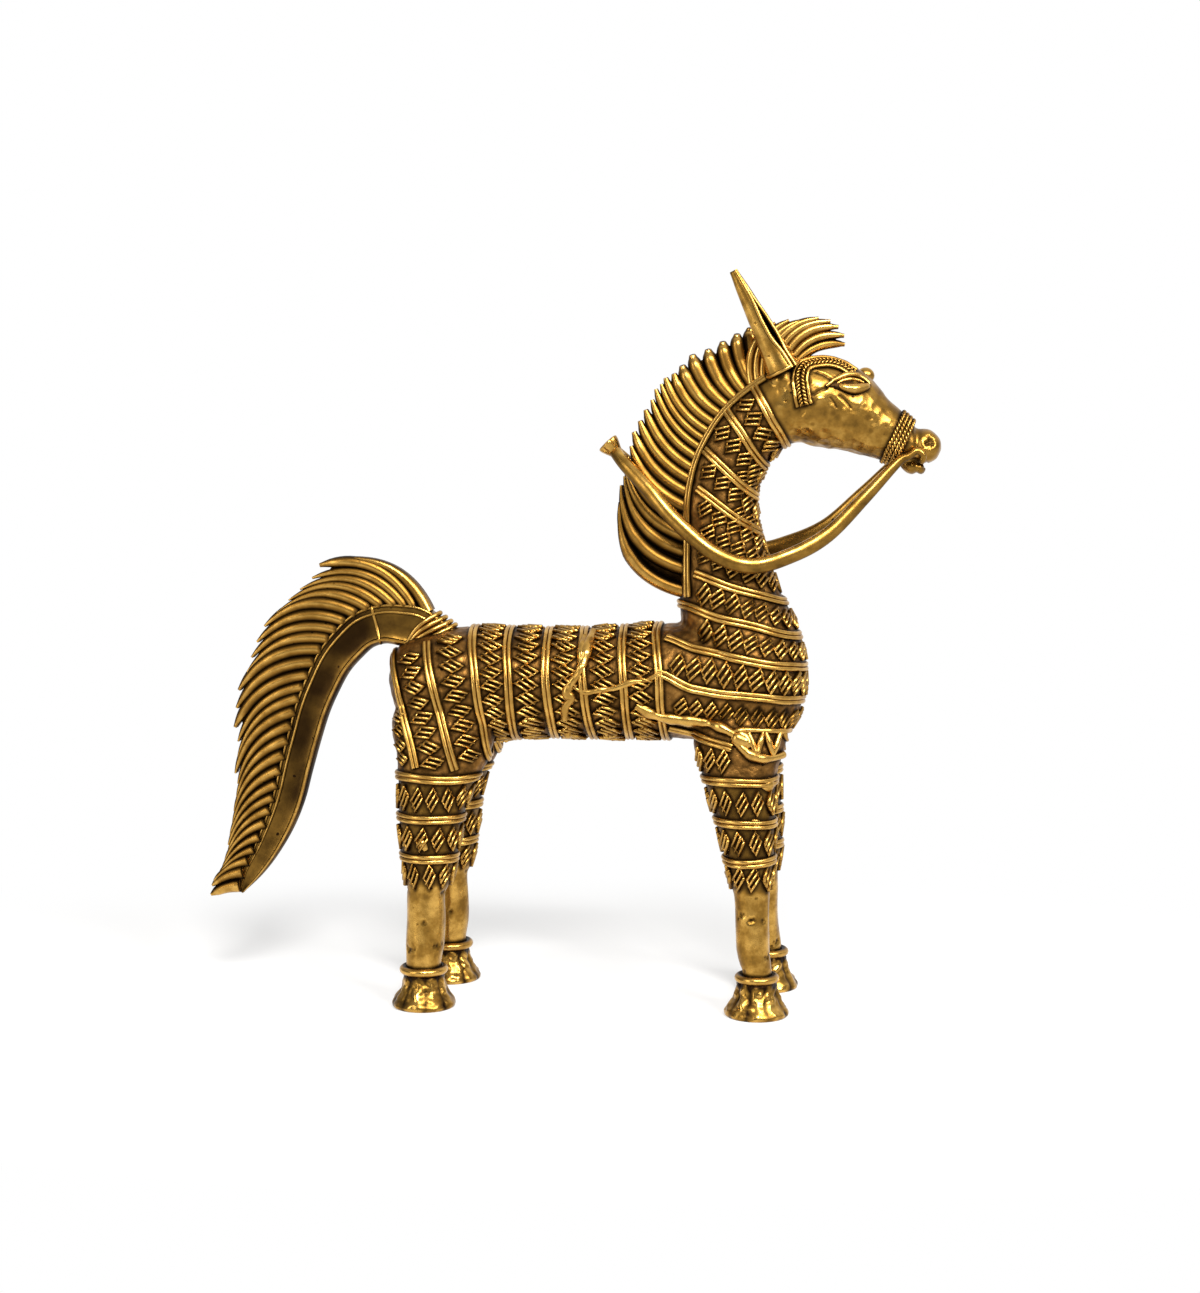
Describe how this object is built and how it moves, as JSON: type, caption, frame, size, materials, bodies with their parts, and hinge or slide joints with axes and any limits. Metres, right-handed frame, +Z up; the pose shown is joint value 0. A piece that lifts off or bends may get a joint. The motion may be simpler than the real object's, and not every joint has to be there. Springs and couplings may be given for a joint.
{
  "type": "brass horse figurine",
  "caption": "Standing brass horse ornament cast in wax-thread style, with banded body, combed mane, arched plume tail, pricked ears and looped reins.",
  "frame": {"origin": "on the floor, under the middle of the figure's bounding box", "axes": "+X towards the horse's head, +Y to the horse's left, +Z up"},
  "size_m": [0.3012, 0.0712, 0.2978],
  "materials": {
    "polished_brass": "rubbed bright, softly pitted",
    "patinated_brass": "dark patina in the ground, rubbed tops",
    "cast_brass": "pitted casting skin, rubbed",
    "combed_brass": "bright strands with dark grooves",
    "wire_brass": "rubbed wire"
  },
  "bodies": {
    "root": {"head": "polished_brass", "tail_stem": "polished_brass", "reins": "polished_brass", "right_ear": "polished_brass", "left_ear": "polished_brass", "right_eye": "polished_brass", "left_eye": "polished_brass", "trunk": "patinated_brass", "neck": "patinated_brass", "right_hind_leg": "cast_brass", "right_hind_hoof": "cast_brass", "left_hind_leg": "cast_brass", "left_hind_hoof": "cast_brass", "right_fore_leg": "cast_brass", "right_fore_hoof": "cast_brass", "left_fore_leg": "cast_brass", "left_fore_hoof": "cast_brass", "mane": "combed_brass", "forelock": "combed_brass", "tail_plume": "combed_brass", "right_hind_fetlock_ring": "wire_brass", "right_hind_band_1": "wire_brass", "right_hind_band_2": "wire_brass", "right_hind_band_3": "wire_brass", "left_hind_fetlock_ring": "wire_brass", "left_hind_band_1": "wire_brass", "left_hind_band_2": "wire_brass", "left_hind_band_3": "wire_brass", "right_fore_fetlock_ring": "wire_brass", "right_fore_band_1": "wire_brass", "right_fore_band_2": "wire_brass", "right_fore_band_3": "wire_brass", "left_fore_fetlock_ring": "wire_brass", "left_fore_band_1": "wire_brass", "left_fore_band_2": "wire_brass", "left_fore_band_3": "wire_brass", "girth_band_1": "wire_brass", "girth_band_2": "wire_brass", "girth_band_3": "wire_brass", "girth_band_4": "wire_brass", "girth_band_5": "wire_brass", "girth_band_6": "wire_brass", "neck_band_1": "wire_brass", "neck_band_2": "wire_brass", "neck_band_3": "wire_brass", "neck_band_4": "wire_brass", "neck_band_5": "wire_brass", "neck_band_6": "wire_brass", "chest_band_1": "wire_brass", "chest_band_2": "wire_brass", "rump_band": "wire_brass", "right_haunch_band": "wire_brass", "left_haunch_band": "wire_brass", "right_mane_strip": "wire_brass", "left_mane_strip": "wire_brass", "tail_collar": "wire_brass", "right_brow_band": "wire_brass", "left_brow_band": "wire_brass", "noseband": "wire_brass"}
  },
  "joints": []
}
